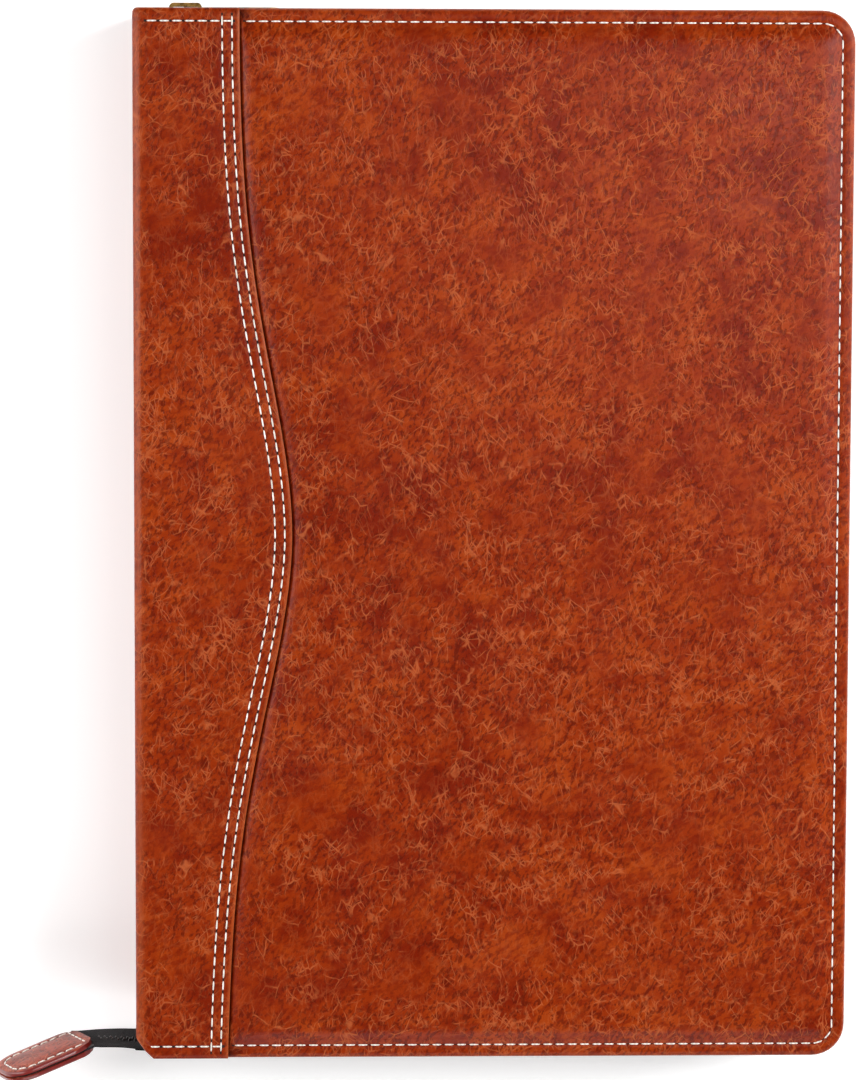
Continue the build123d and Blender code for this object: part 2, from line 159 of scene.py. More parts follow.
class Wiring:
    """A new material with its main shader, and short names for the nodes that feed it."""

    def __init__(self, name, **settings):
        self.material = bpy.data.materials.new(name)
        self.material.use_nodes = True
        self.tree = self.material.node_tree
        self.shader = self.tree.nodes["Principled BSDF"]
        for socket, value in settings.items():
            self.shader.inputs[socket.replace("_", " ")].default_value = value

    def feed(self, socket, value):
        if isinstance(value, bpy.types.NodeSocket):
            self.tree.links.new(value, socket)
        else:
            socket.default_value = value

    def add(self, kind, feeds, output=0, **settings):
        node = self.tree.nodes.new("ShaderNode" + kind)
        for name, value in settings.items():
            setattr(node, name, value)
        for socket, value in feeds.items():
            self.feed(node.inputs[socket], value)
        return node.outputs[output]

    def place(self):
        return self.add("TexCoord", {}, "Object")

    def along(self, name="grain"):
        return self.add("Attribute", {}, "Vector", attribute_name=name)

    def amount(self, name):
        return self.add("Attribute", {}, "Fac", attribute_name=name)

    def stretch(self, where, scale, turn=0.0, shift=(0, 0, 0)):
        """The place turned first and then scaled, so that the turn decides which way a pattern runs."""
        turned = self.add("Mapping", {"Vector": where, "Rotation": (0, 0, turn)}) if turn else where
        return self.add("Mapping", {"Vector": turned, "Scale": scale, "Location": shift})

    def noise(self, where, scale, detail=2.0, rough=0.5, twist=0.0, output=0):
        return self.add("TexNoise", {"Vector": where, "Scale": scale, "Detail": detail,
                                     "Roughness": rough, "Distortion": twist}, output)

    def cells(self, where, scale, feature="F1", spread=1.0):
        return self.add("TexVoronoi", {"Vector": where, "Scale": scale, "Randomness": spread},
                        "Distance", feature=feature)

    def wave(self, where, scale, direction="X", twist=0.0, detail=2.0):
        return self.add("TexWave", {"Vector": where, "Scale": scale, "Distortion": twist, "Detail": detail},
                        1, bands_direction=direction)

    def sum(self, kind, a, b=0.0, clamp=False):
        return self.add("Math", {0: a, 1: b}, operation=kind, use_clamp=clamp)

    def times(self, a, b, clamp=False):
        return self.sum("MULTIPLY", a, b, clamp)

    def plus(self, a, b):
        return self.sum("ADD", a, b)

    def most(self, a, b):
        return self.sum("MAXIMUM", a, b)

    def there_and_back(self, a, b):
        return self.sum("PINGPONG", a, b)

    def step(self, value, low, high, start=0.0, end=1.0):
        """A smooth step from start to end as value goes from low to high."""
        return self.add("MapRange", {"Value": value, "From Min": low, "From Max": high,
                                     "To Min": start, "To Max": end}, interpolation_type="SMOOTHSTEP")

    def blend(self, share, a, b, kind="MIX"):
        node = self.tree.nodes.new("ShaderNodeMix")
        node.data_type, node.blend_type = "RGBA", kind
        self.feed(node.inputs[0], share)
        self.feed(node.inputs[6], a)
        self.feed(node.inputs[7], b)
        return node.outputs[2]

    def parts(self, vector):
        node = self.tree.nodes.new("ShaderNodeSeparateXYZ")
        self.feed(node.inputs[0], vector)
        return node.outputs

    def warp(self, where, scale, reach):
        """The place moved about by soft noise, so that a pattern's lines wander."""
        push = self.noise(where, scale, 2.0, 0.5, 0.0, 1)
        centred = self.add("VectorMath", {0: push, 1: (0.5, 0.5, 0.5)}, operation="SUBTRACT")
        return self.add("VectorMath", {0: centred, 1: (reach,) * 3, 2: where}, operation="MULTIPLY_ADD")

    def relief(self, height, strength, depth):
        bump = self.add("Bump", {"Height": height, "Strength": strength, "Distance": depth}, "Normal")
        self.feed(self.shader.inputs["Normal"], bump)

    def colour(self, value):
        self.feed(self.shader.inputs["Base Color"], value)

    def roughness(self, value):
        self.feed(self.shader.inputs["Roughness"], value)


print("wiring helper ready")

# %% [markdown]
# The leather is a waxed tan hide. Wax makes it darker where it is thick, and a net of fine pale creases
# shows where the hide has been crumpled. Long creases are thin contour lines of a stretched noise, laid
# two ways. The short branching ones are the borders of stretched cells, laid four ways. Soft noise
# keeps both in clusters and breaks them up, and small dark specks of wax lie between them.

# %% Leather
def crease_lines(w, where, scale, turn, levels, width, shift):
    """Long thin lines: the contours of a noise that is stretched one way."""
    laid = w.stretch(where, (1.0, 0.17, 1.0), turn, shift)
    field = w.noise(laid, scale, 1.5, 0.5, 0.15)
    repeated = w.there_and_back(w.times(field, levels), 0.5)
    return w.step(repeated, 0.0, width, 1.0, 0.0)


def leather(name, dark, body, light, crease, gloss):
    """Waxed leather in four tones, on the piece's own grain coordinates."""
    w = Wiring(name, Specular_IOR_Level=0.13)
    where = w.along()
    bent = w.warp(where, 40, 0.0035)
    clouds = w.plus(w.times(w.noise(where, 22, 3.0, 0.6), 0.4), w.times(w.noise(bent, 90, 4.0, 0.62), 0.6))
    areas = [w.step(w.noise(w.stretch(where, (1, 1, 1), 0.0, (shift, 0.1, 0)), 62, 2.0, 0.55), 0.46, 0.60)
             for shift in (0.0, 0.3, 0.6, 0.9)]
    lines = None
    for area, turn in zip(areas[:2], (0.6, -0.8)):
        drawn = w.times(area, crease_lines(w, bent, 210, turn, 4.5, 0.05, (turn, 0.3 * turn, 0)))
        lines = drawn if lines is None else w.most(lines, drawn)
    loose = w.warp(where, 150, 0.003)
    nets = ((2, 0.22, 0.42, 250, 0.042), (3, -0.3, 0.4, 330, 0.05),
            (0, 1.0, 0.5, 290, 0.045), (1, -0.1, 0.36, 420, 0.055))
    for area, turn, long, size, width in nets:
        borders = w.cells(w.stretch(loose, (1.0, long, 1.0), turn), size, "DISTANCE_TO_EDGE")
        net = w.step(borders, 0.0, width, 1.0, 0.0)
        lines = w.most(lines, w.times(net, w.plus(0.25, w.times(areas[area], 0.75))))
    crumpled = w.most(w.most(areas[0], areas[1]), w.most(areas[2], areas[3]))
    lines = w.times(lines, w.step(w.noise(where, 260, 3.0, 0.6), 0.38, 0.60))
    specks = w.step(w.noise(w.stretch(bent, (1.0, 0.5, 1.0), 0.45), 1100, 2.5, 0.6), 0.49, 0.60)
    blots = w.step(w.noise(w.stretch(bent, (0.5, 1.0, 1.0), -0.5), 620, 3.0, 0.62), 0.47, 0.60)
    specks = w.times(specks, w.plus(0.3, w.times(crumpled, 0.7)))
    tint = w.blend(w.step(clouds, 0.38, 0.50), dark, body)
    tint = w.blend(w.step(clouds, 0.50, 0.62), tint, light)
    deep = tuple(0.55 * c for c in dark[:3]) + (1,)
    # The next colour is painted shade, nearly black, for the groove beside the curved edge.
    groove_shade = tuple(0.1 * c for c in dark[:3]) + (1,)
    tint = w.blend(w.times(blots, 0.65), tint, dark)
    tint = w.blend(w.times(specks, 0.7), tint, deep)
    tint = w.blend(w.times(lines, 0.66), tint, crease)
    # Painted light from the piece's attribute: painted highlight in the crease tone above 0, painted shade in
    # the near-black tone below 0.
    tint = w.blend(w.times(w.amount("painted_light"), 0.6, True), tint, crease)
    tint = w.blend(w.times(w.amount("painted_light"), -0.9, True), tint, groove_shade)
    w.colour(tint)
    w.roughness(w.step(w.plus(w.times(lines, 0.4), w.noise(where, 60, 2.0)), 0.3, 0.9, gloss, gloss + 0.12))
    fine = w.noise(where, 2200, 2.0, 0.6)
    height = w.plus(w.times(lines, 0.5), w.times(fine, 0.15))
    w.relief(w.sum("SUBTRACT", height, w.times(specks, 0.5)), 0.35, 0.00018)
    return w.material


tan_leather = leather("waxed_tan_leather", tone(114, 24, 0), tone(138, 42, 3), tone(152, 55, 8),
                      tone(182, 92, 48), 0.28)
tab_leather = leather("waxed_tab_hide", tone(112, 34, 16), tone(160, 62, 36), tone(178, 80, 52),
                      tone(200, 120, 92), 0.28)
print("leathers", tan_leather.name, tab_leather.name)

# %% [markdown]
# A skin is a closed surface put together from rows of points. Rows are joined by quads, flat ends are
# capped with one face, and points that coincide are merged, so the seams between patches close.

# %% A helper that builds closed skins
class Skin:
    """Patches of quads that share their edges, turned into one closed piece."""

    def __init__(self):
        self.points, self.faces, self.paint = [], [], []

    def grid(self, rows, paint=0):
        start, width = len(self.points), len(rows[0])
        for row in rows:
            self.points.extend(row)
        for r in range(len(rows) - 1):
            for c in range(width - 1):
                a = start + r * width + c
                self.faces.append((a, a + 1, a + width + 1, a + width))
                self.paint.append(paint)

    def cap(self, loop, paint=0):
        start = len(self.points)
        self.points.extend(loop)
        self.faces.append(tuple(range(start, start + len(loop))))
        self.paint.append(paint)

    def piece(self, name, *materials, merge=0.004 * mm, angle=40):
        mesh = bpy.data.meshes.new(name)
        mesh.from_pydata([tuple(p) for p in self.points], [], self.faces)
        for material in materials:
            mesh.materials.append(material)
        mesh.polygons.foreach_set("material_index", self.paint)
        shape = bmesh.new()
        shape.from_mesh(mesh)
        bmesh.ops.remove_doubles(shape, verts=shape.verts, dist=merge)
        bmesh.ops.dissolve_degenerate(shape, dist=merge, edges=shape.edges)
        bmesh.ops.recalc_face_normals(shape, faces=shape.faces)
        open_edges = sum(1 for e in shape.edges if not e.is_manifold)
        shape.to_mesh(mesh)
        shape.free()
        made = bpy.data.objects.new(name, mesh)
        bpy.context.scene.collection.objects.link(made)
        smooth(made, angle)
        print(name, "faces", len(mesh.polygons), "open edges", open_edges)
        return made


def closed_strip(skin, face, back):
    """Adds a thin strip to a skin: its face, its back and the four narrow sides between them."""
    skin.grid(face)
    skin.grid(back)
    for edge in (0, -1):
        skin.grid([[row[edge] for row in face], [row[edge] for row in back]])
        skin.grid([face[edge], back[edge]])
    return skin


def smooth(made, angle):
    """Smooth shading, with an edge left sharp where it turns by more than angle."""
    clear_selection()
    made.select_set(True)
    bpy.context.view_layer.objects.active = made
    bpy.ops.object.shade_smooth_by_angle(angle=math.radians(angle))


def lay_grain(made, rule, painted_light=None):
    """Writes where each point lies on the flat hide, and its painted light there: painted highlight above 0,
    painted shade below 0.
    """
    mesh = made.data
    grain = [value for vertex in mesh.vertices for value in rule(vertex.co)]
    painted_amounts = [painted_light(vertex.co) if painted_light else 0.0 for vertex in mesh.vertices]
    mesh.attributes.new("grain", "FLOAT_VECTOR", "POINT")
    mesh.attributes["grain"].data.foreach_set("vector", grain)
    mesh.attributes.new("painted_light", "FLOAT", "POINT")
    mesh.attributes["painted_light"].data.foreach_set("value", painted_amounts)


def flipped(made, name):
    """A copy for the back cover, mirrored about the middle of the book."""
    mesh = made.data.copy()
    mesh.name = name
    mesh.transform(Matrix.Translation((0, 0, top_z)) @ Matrix.Diagonal((1, 1, -1, 1)))
    mesh.flip_normals()
    if "grain" in mesh.attributes:
        for item in mesh.attributes["grain"].data:
            item.vector = (item.vector[0] + 0.37, item.vector[1] + 0.53, item.vector[2])
    copy = bpy.data.objects.new(name, mesh)
    bpy.context.scene.collection.objects.link(copy)
    smooth(copy, 40)
    return copy


def goes(made, body, slot, *nodes):
    """The piece rides on body and stands for the CAD nodes, which it hides. slot is not used."""
    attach(made, body)
    if nodes:
        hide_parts(*nodes)
    return made


print("skin helper ready")

# %% [markdown]
# The leather wrapped round the spine ends in a long S-shaped curve on each cover. The same curve is
# the left side of the padded panel and guides two rows of stitches, so it is written down once.

# %% The curved edge and the cover's outline
seam_base, seam_lean, seam_bulge = 25.3 * mm, 1.7 * mm, 15.2 * mm
seam_half, seam_power = 62 * mm, 1.85


def seam_x(y):
    """Where the wrap's curved edge is at height y."""
    bulge = seam_bulge * math.exp(-(abs(y) / seam_half) ** seam_power)
    return fold_x + seam_base + seam_lean * y / head_y + bulge


def seam_slant(y):
    """How much longer a step sideways gets when it is measured square to the curved edge."""
    return math.hypot(1.0, (seam_x(y + mm) - seam_x(y - mm)) / (2 * mm))


def share(low, high, count):
    """count steps from low to high, both ends included."""
    return [low + (high - low) * i / count for i in range(count + 1)]


def u_path(inset, start, end=None, along=40, side=64, bend=8):
    """Points round head, fore edge and tail at an inset, from x=start at the head to x=end at the tail."""
    end = start if end is None else end
    radius = max(corner_radius - inset, 3.5 * mm)
    right, top = fore_x - inset, head_y - inset
    points = [(x, top) for x in share(start, right - radius, along)]
    for i in range(1, bend + 1):
        a = math.pi / 2 * (1 - i / bend)
        points.append((right - radius + radius * math.cos(a), top - radius + radius * math.sin(a)))
    points += [(right, y) for y in share(top - radius, radius - top, side)[1:]]
    for i in range(1, bend + 1):
        a = -math.pi / 2 * i / bend
        points.append((right - radius + radius * math.cos(a), radius - top + radius * math.sin(a)))
    return points + [(x, -top) for x in share(right - radius, end, along)[1:]]


def rim_distance(x, y):
    """How far a place on the cover is from head, fore edge or tail."""
    dx, dy = fore_x - x, head_y - abs(y)
    if dx < corner_radius and dy < corner_radius:
        return corner_radius - math.hypot(corner_radius - dx, corner_radius - dy)
    return min(dx, dy)


def along_table(value, table):
    """A smooth reading between the rows of a table of (place, depth), in millimetres."""
    value /= mm
    if value <= table[0][0]:
        return table[0][1] * mm
    for (a, low), (b, high) in zip(table, table[1:]):
        if value <= b:
            t = (value - a) / (b - a)
            return (low + (high - low) * t) * mm
    return table[-1][1] * mm


print("curve at the middle", round(seam_x(0), 4), "at the head", round(seam_x(head_y), 4))

# %% [markdown]
# The padded panel is leather over foam. Its rim is sewn flat, the padding rises in a soft shoulder
# and is slightly crowned, and the leather rolls over the board's edge. It is built as rings that
# follow the outline inwards, each with its own depth, with a grid in the middle.

# %% The panel's height
rim_profile = [(1.5, 1.6), (2.9, 1.62), (3.4, 1.86), (3.9, 1.6), (4.4, 1.5), (5.0, 1.22), (5.7, 0.84),
               (6.6, 0.5), (7.8, 0.27), (9.5, 0.14), (13, 0.07), (22, 0.02), (34, 0.0)]
seam_profile = [(0.0, 1.7), (0.3, 1.6), (0.6, 1.2), (1.1, 0.86), (2.0, 0.6), (3.4, 0.36), (5.5, 0.18),
                (9.0, 0.06), (16, 0.0)]


def panel_depth(x, y):
    """Depth of the padded panel's face: rim and curved seam, whichever presses it lower."""
    rim = along_table(rim_distance(x, y), rim_profile)
    seam = along_table((x - seam_x(y)) / seam_slant(y), seam_profile)
    return min((rim ** 3 + seam ** 3) ** (1 / 3), 1.95 * mm)


def raised(points, depth=None):
    """Flat points lifted to the panel's face, or to one depth."""
    return [(x, y, top_z - (panel_depth(x, y) if depth is None else depth)) for x, y in points]


def seam_line(gap, inset, count=72):
    """Points beside the curved edge, from the head to the tail."""
    return [(seam_x(y) + gap * seam_slant(y), y) for y in share(head_y - inset, inset - head_y, count)]


print("depth in the middle", panel_depth(0.02, 0), "on the rim", panel_depth(0.02, head_y - 2 * mm))

# %% [markdown]
# The rings run from under the cover round the rolled edge and up to the face, then inwards. On the
# left they end at the curved edge, where a second set of rows follows the seam. The last ring's
# inside is filled with a grid, and every point of the face is lifted by the same height rule.

# %% Build the panel
def roll_steps(count, base):
    """The rolled edge from under the cover to its face: pairs of inset and depth."""
    low = [(roll * (1 - math.sin(a)), turn_depth - roll + roll * math.cos(a))
           for a in share(0, math.pi / 2, count)]
    high = [(roll * (1 - math.cos(a)), base + roll * (1 - math.sin(a)))
            for a in share(0, math.pi / 2, count)]
    return low + high


def filled(left, ring):
    """Rows of points that fill the middle, drawn evenly between its four sides."""
    corner = 44
    top, right, bottom = ring[:corner + 1], ring[corner:-corner], ring[-corner - 1:][::-1]
    count, steps = len(top) - 1, len(right) - 1
    rows = []
    for r in range(steps + 1):
        v, row = r / steps, []
        for c in range(count + 1):
            u = c / count
            row.append(tuple(
                (1 - u) * left[r][k] + u * right[r][k] + (1 - v) * top[c][k] + v * bottom[c][k]
                - ((1 - u) * (1 - v) * top[0][k] + u * (1 - v) * top[-1][k]
                   + (1 - u) * v * bottom[0][k] + u * v * bottom[-1][k]) for k in (0, 1)))
        rows.append(row)
    return rows


def padded_panel():
    def ring(inset, gap):
        """The outline at an inset, ending at a gap from the curved edge."""
        ends = head_y - inset
        return u_path(inset, seam_x(ends) + gap * seam_slant(ends), seam_x(-ends) + gap * seam_slant(-ends))

    skin = Skin()
    gap = 0.04 * mm
    levels = [(turn_inner, foam_depth), (turn_inner, turn_depth)] + roll_steps(5, rim_depth)
    under = []
    for inset, depth in levels:
        under.append(raised(ring(inset, gap), depth))
    under[-1] = raised([p[:2] for p in under[-1]])
    skin.grid(under)
    skin.cap([row[0] for row in under])
    skin.cap([row[-1] for row in reversed(under)])
    insets = [1.5, 2.2, 2.9, 3.15, 3.4, 3.65, 3.9, 4.4, 5.0, 5.7, 6.6, 7.8, 9.5, 12.5]
    gaps = [0.04, 0.25, 0.45, 0.65, 0.9, 1.2, 1.7, 2.3, 3.1, 4.1, 5.2, 6.8, 9.0, 12.0]
    rings, sides = [], []
    for inset, gap_here in zip(insets, gaps):
        rings.append(raised(ring(inset * mm, gap_here * mm)))
        sides.append(raised(seam_line(gap_here * mm, inset * mm)))
    skin.grid(rings)
    skin.grid(sides)
    floor_side = raised(seam_line(gap, turn_inner), foam_depth)
    skin.grid([sides[0], floor_side])
    skin.grid([raised(row) for row in filled(sides[-1], rings[-1])])
    skin.cap(under[0] + floor_side[::-1][1:-1])
    return skin


def panel_light_paint(p):
    """Painted highlight, pale, along the rolled rim, and painted shade, dark, in the groove by the curved
    edge.
    """
    # rim is a painted highlight on the rolled edge, groove a painted shade beside the curved edge.
    rim = 0.45 * max(0.0, 1 - abs(rim_distance(p.x, p.y)) / (0.9 * mm))
    groove = max(0.0, 1 - (p.x - seam_x(p.y)) / seam_slant(p.y) / (0.75 * mm))
    return rim - groove if p.z > top_z - 2 * mm else rim


panel_skin = padded_panel()
front_panel = panel_skin.piece("front_padded_panel", tan_leather)
lay_grain(front_panel, lambda p: (p.x, p.y, p.z * 0.6), panel_light_paint)
back_panel = flipped(front_panel, "back_padded_panel")
goes(front_panel, "front_cover", "panel_leather", "front_leather_panel", "front_foam_pad")
goes(back_panel, "back_cover", "panel_leather", "back_leather_panel", "back_foam_pad")

# %% [markdown]
# The spine wrap is one piece of leather on the real book. It starts at the middle of the spine, turns
# round the fold and lies on the cover as far as the S-shaped edge. Its head and tail edges are rolled
# under. Each cover gets its own half. The rows run along its length and the columns follow its
# section, closer at the fold.

# %% The wrap's section
fold_round = 2.4 * mm
wrap_skin = 1.1 * mm
arc_x = fold_x + fold_round
arc_z = top_z - wrap_depth - fold_round
spine_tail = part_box("spine_leather")[0].y - 0.8 * mm
spine_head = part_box("spine_leather")[1].y + 0.05 * mm
spine_inner = 3.1 * mm
clip = 4.5 * mm
columns = []          # place, outward direction and how far along the hide, up to the end of the fold
for z in share(middle_z, arc_z, 14):
    columns.append((fold_x, z, -1.0, 0.0))
for a in share(0, math.pi / 2, 12)[1:]:
    out_x, out_z = -math.cos(a), math.sin(a)
    columns.append((arc_x + fold_round * out_x, arc_z + fold_round * out_z, out_x, out_z))
edge_steps = [-5.2, -4.75, -4.4, -4.05, -3.3, -2.3, -1.9, -1.5, -0.9, -0.45, -0.2, -0.06, 0.0]
edge_drop = [0, 0.03, 0.13, 0.03, 0, 0.03, 0.13, 0.03, 0, 0.02, 0.1, 0.22, 0.42]
flat_columns = 22
print("columns", len(columns) + flat_columns + len(edge_steps))


def near_tail(y):
    """1 at the tail, fading to 0 over the last 40 mm of the cover: the corner there is clipped."""
    return min(1.0, max(0.0, (40 * mm - head_y - y) / (40 * mm)))


def wrap_row(y_head, y_spine, lift):
    """One row of the wrap's face. lift(column, y) is how far that point lies under the face."""
    row = []
    for c, (x, z, nx, nz) in enumerate(columns):
        lean = min(1.0, max(0.0, (z - arc_z + 6 * mm) / (6 * mm))) if nz == 0 else 1.0
        lean = lean * lean * (3 - 2 * lean)
        y = y_spine + (y_head - y_spine) * lean
        y += max(0.0, fold_x + clip - x) * lean * near_tail(y_head)
        under = lift(x, y, nz)
        row.append((x - nx * under, y, z - nz * under))
    start, stop = arc_x, seam_x(y_head) + edge_steps[0] * mm * seam_slant(y_head)
    places = share(start, stop, flat_columns)[1:]
    drops = [0.0] * len(places)
    places += [seam_x(y_head) + s * mm * seam_slant(y_head) for s in edge_steps[1:]]
    drops += [d * mm for d in edge_drop[1:]]
    for x, drop in zip(places, drops):
        y = y_head + max(0.0, fold_x + clip - x) * near_tail(y_head)
        under = lift(x, y, 1.0)
        row.append((x, y, top_z - wrap_depth - max(under, drop)))
    return row


def row_pair(t, inset=0.0, spine_share=1.0):
    """Row heights on the cover and on the spine for t from 0 at the head to 1 at the tail."""
    cover_top, cover_low = head_y - inset, inset - head_y
    spine_top, spine_low = spine_head - inset * spine_share, spine_tail + inset * spine_share
    return cover_top + (cover_low - cover_top) * t, spine_top + (spine_low - spine_top) * t


print("wrap from z", round(middle_z, 4), "round", fold_round)

# %% [markdown]
# The wrap's head and tail ends are rolled: rows go from inside the cover round the edge and out to
# the face. The stitched rim is pressed in a little on the cover but not on the spine. The back cover
# gets a mirrored copy.

# %% Build the wrap
rim_insets = [1.5, 2.1, 2.8, 3.1, 3.4, 3.7, 4.0, 4.8]
rim_sink = [0, 0, 0.02, 0.07, 0.15, 0.07, 0.02, 0]


def wrap_piece():
    skin = Skin()
    thick_rim = turn_depth - wrap_depth
    thick_mid = foam_depth - wrap_depth

    def at_depth(rim):
        """Thickness there: the whole cover, or only the leather and what lies under it."""
        def lift(x, y, nz):
            cover, spine = (thick_rim, spine_inner) if rim else (thick_mid, wrap_skin)
            return spine + (cover - spine) * max(0.0, nz) ** 2
        return lift

    ends = []
    for t_end in (0.0, 1.0):
        rows = []
        y_cover, y_spine = row_pair(t_end, turn_inner)
        rows.append(wrap_row(y_cover, y_spine, at_depth(False)))
        rows.append(wrap_row(y_cover, y_spine, at_depth(True)))
        for a in share(0, math.pi / 2, 4):
            y_cover, y_spine = row_pair(t_end, roll * (1 - math.sin(a)), 0.25)
            whole = at_depth(True)
            less = roll * (1 - math.cos(a)) * 0.7
            rows.append(wrap_row(y_cover, y_spine, lambda x, y, nz, less=less: whole(x, y, nz) - less))
        for a in share(0, math.pi / 2, 5):
            y_cover, y_spine = row_pair(t_end, roll * (1 - math.cos(a)))
            down = roll * (1 - math.sin(a)) * 0.7
            rows.append(wrap_row(y_cover, y_spine, lambda x, y, nz, down=down: down))
        ends.append(rows)
    insets = list(zip(rim_insets, rim_sink))

    def sunk_row(t, inset, sink):
        """A row of the face, pressed in by the rim's stitches on the cover only."""
        return wrap_row(*row_pair(t, inset * mm), lambda x, y, nz: sink * mm * max(0.0, nz))

    top_rows = [sunk_row(0.0, inset, sink) for inset, sink in insets]
    top_rows += [sunk_row(t, rim_insets[-1], 0.0) for t in share(0, 1, 80)[1:-1]]
    top_rows += [sunk_row(1.0, inset, sink) for inset, sink in reversed(insets)]
    low_rows = [ends[0][0]]
    for t in share(0, 1, 80)[1:-1]:
        low_rows.append(wrap_row(*row_pair(t, turn_inner), at_depth(False)))
    low_rows.append(ends[1][0])
    head, tail = ends
    skin.grid(head)
    skin.grid(tail)
    skin.grid(top_rows)
    skin.grid(low_rows)
    rim = len(insets)
    for c in (0, -1):
        skin.cap([row[c] for row in head] + [row[c] for row in top_rows[1:rim]])
        skin.cap([row[c] for row in tail] + [row[c] for row in reversed(top_rows[-rim:-1])])
        wall_rows = top_rows[rim - 1:len(top_rows) - rim + 1]
        skin.grid([[row[c] for row in wall_rows], [row[c] for row in low_rows]])
    return skin


def hide_place(p):
    """Where a point of the wrap lies when the hide is rolled out flat."""
    if p.z > arc_z and p.x < arc_x:
        a = math.atan2(p.z - arc_z, arc_x - p.x)
        return (arc_x - fold_round * (math.pi / 2 - a), p.y, 0.31)
    if p.x < arc_x:
        return (arc_x - fold_round * math.pi / 2 - (arc_z - p.z), p.y, 0.31)
    return (p.x, p.y, 0.31 + (p.z - top_z + wrap_depth) * 0.6)


def wrap_light_paint(p):
    """Painted highlight along the curved edge, and a little at the fold, where the leather's edges catch the
    light.
    """
    edge = 1 - abs(p.x - seam_x(p.y)) / seam_slant(p.y) / (0.8 * mm)
    fold = 0.5 * (1 - abs(p.x - arc_x + 1.2 * mm) / (1.6 * mm)) if p.z > arc_z else 0.0
    return max(0.0, min(1.0, edge), fold)


front_wrap = wrap_piece().piece("front_spine_wrap", tan_leather)
lay_grain(front_wrap, hide_place, wrap_light_paint)
back_wrap = flipped(front_wrap, "back_spine_wrap")
for wrap, cover, face in ((front_wrap, "front_cover", top_z), (back_wrap, "back_cover", 0.0)):
    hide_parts(cover[:-5] + "wrap_leather", "spine_leather")
    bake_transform(wrap)

# %% [markdown]
# Stitches are short lengths of waxed white thread that dip into the leather at both ends, with a needle
# hole between them, shown as a dark plug of painted shade. One stitch is modelled and then laid again
# and again along its seam, at eight to the inch. Each seam is one piece, with the holes as its second
# material.

# %% Thread and needle holes
def thread_finish():
    w = Wiring("waxed_white_thread", Roughness=0.55, Sheen_Weight=0.2)
    where = w.place()
    twist = w.wave(w.stretch(where, (1, 1, 1), 0.6), 420, "DIAGONAL", 1.0)
    w.colour(w.blend(twist, tone(214, 205, 192), tone(250, 246, 238)))
    w.relief(twist, 0.4, 0.0001)
    return w.material


def hole_shade_finish():
    # A near-black finish for the plug in each needle hole: painted shade where the hole's recess would be
    # dark.
    w = Wiring("needle_hole_shade", Roughness=0.9)
    w.colour(w.blend(w.noise(w.place(), 2500), tone(8, 3, 2), tone(26, 9, 4)))
    return w.material


white_thread, needle_hole_shade = thread_finish(), hole_shade_finish()
pitch = 3.2 * mm


def taken(made, rule=lambda co: co):
    """The points, each moved by rule, and the faces of a shaped primitive, which is then removed."""
    points = [Vector(rule(v.co)) for v in made.data.vertices]
    faces = [tuple(f.vertices) for f in made.data.polygons]
    bpy.data.objects.remove(made, do_unlink=True)
    return points, faces


def one_stitch(length=2.5 * mm, radius=0.21 * mm):
    """A thread lying along X, rounded and dipping at its ends. Gives points and faces."""
    clear_selection()
    bpy.ops.mesh.primitive_cylinder_add(vertices=7, radius=radius, depth=length, rotation=(0, math.pi / 2, 0))
    bpy.ops.object.transform_apply(location=True, rotation=True, scale=True)
    made = bpy.context.object
    bpy.ops.object.mode_set(mode="EDIT")
    bpy.ops.mesh.select_mode(type="EDGE")
    bpy.ops.mesh.select_all(action="DESELECT")
    bpy.ops.object.mode_set(mode="OBJECT")
    for edge in made.data.edges:
        a, b = (made.data.vertices[i].co for i in edge.vertices)
        edge.select = abs(a.x - b.x) > length / 2
    bpy.ops.object.mode_set(mode="EDIT")
    bpy.ops.mesh.subdivide(number_cuts=4)
    bpy.ops.mesh.select_mode(type="VERT")
    bpy.ops.object.mode_set(mode="OBJECT")

    def dipped(co):
        ending = (2 * co.x / length) ** 6
        slim = 1 - 0.4 * ending
        return co.x, co.y * slim, co.z * slim * 0.85 - 0.26 * mm * ending

    return taken(made, dipped)


def one_hole(radius=0.39 * mm, deep=0.3 * mm):
    """A shallow six-sided plug that shows as the needle hole: a dark disc of painted shade where the hole
    would be.
    """
    clear_selection()
    sunk = -deep / 2 + 0.06 * mm
    bpy.ops.mesh.primitive_cylinder_add(vertices=7, radius=radius, depth=deep, location=(0, 0, sunk))
    bpy.ops.object.transform_apply(location=True, rotation=True, scale=True)
    return taken(bpy.context.object)


stitch_shape, hole_shape = one_stitch(), one_hole()


def joined(name, points, faces, paint, angle, *materials):
    """One piece made of many laid copies."""
    mesh = bpy.data.meshes.new(name)
    mesh.from_pydata([tuple(p) for p in points], [], faces)
    for material in materials:
        mesh.materials.append(material)
    mesh.polygons.foreach_set("material_index", paint)
    made = bpy.data.objects.new(name, mesh)
    bpy.context.scene.collection.objects.link(made)
    smooth(made, angle)
    print(name, "faces", len(faces))
    return made


def evenly(path, step):
    """Places and directions along a line of points, one step apart and centred on it."""
    lengths = [0.0]
    for a, b in zip(path, path[1:]):
        lengths.append(lengths[-1] + (Vector(b) - Vector(a)).length)
    count = max(1, int(lengths[-1] / step))
    spare = (lengths[-1] - count * step) / 2
    out, k = [], 0
    for i in range(2 * count + 1):
        reach = min(spare + i * step / 2, lengths[-1])
        while k < len(lengths) - 2 and lengths[k + 1] < reach:
            k += 1
        a, b = Vector(path[k]), Vector(path[k + 1])
        t = (reach - lengths[k]) / max(lengths[k + 1] - lengths[k], 1e-9)
        out.append((a.lerp(b, t), (b - a).normalized()))
    return out


def lay(points, faces, shape, place, along, up, paint, colour):
    """Adds one copy of a shape at place, its X along the seam and its Z up."""
    side = up.cross(along).normalized()
    turn = Matrix((along, side, along.cross(side))).transposed()
    start = len(points)
    points.extend(place + turn @ p for p in shape[0])
    faces.extend(tuple(start + i for i in face) for face in shape[1])
    paint.extend([colour] * len(shape[1]))


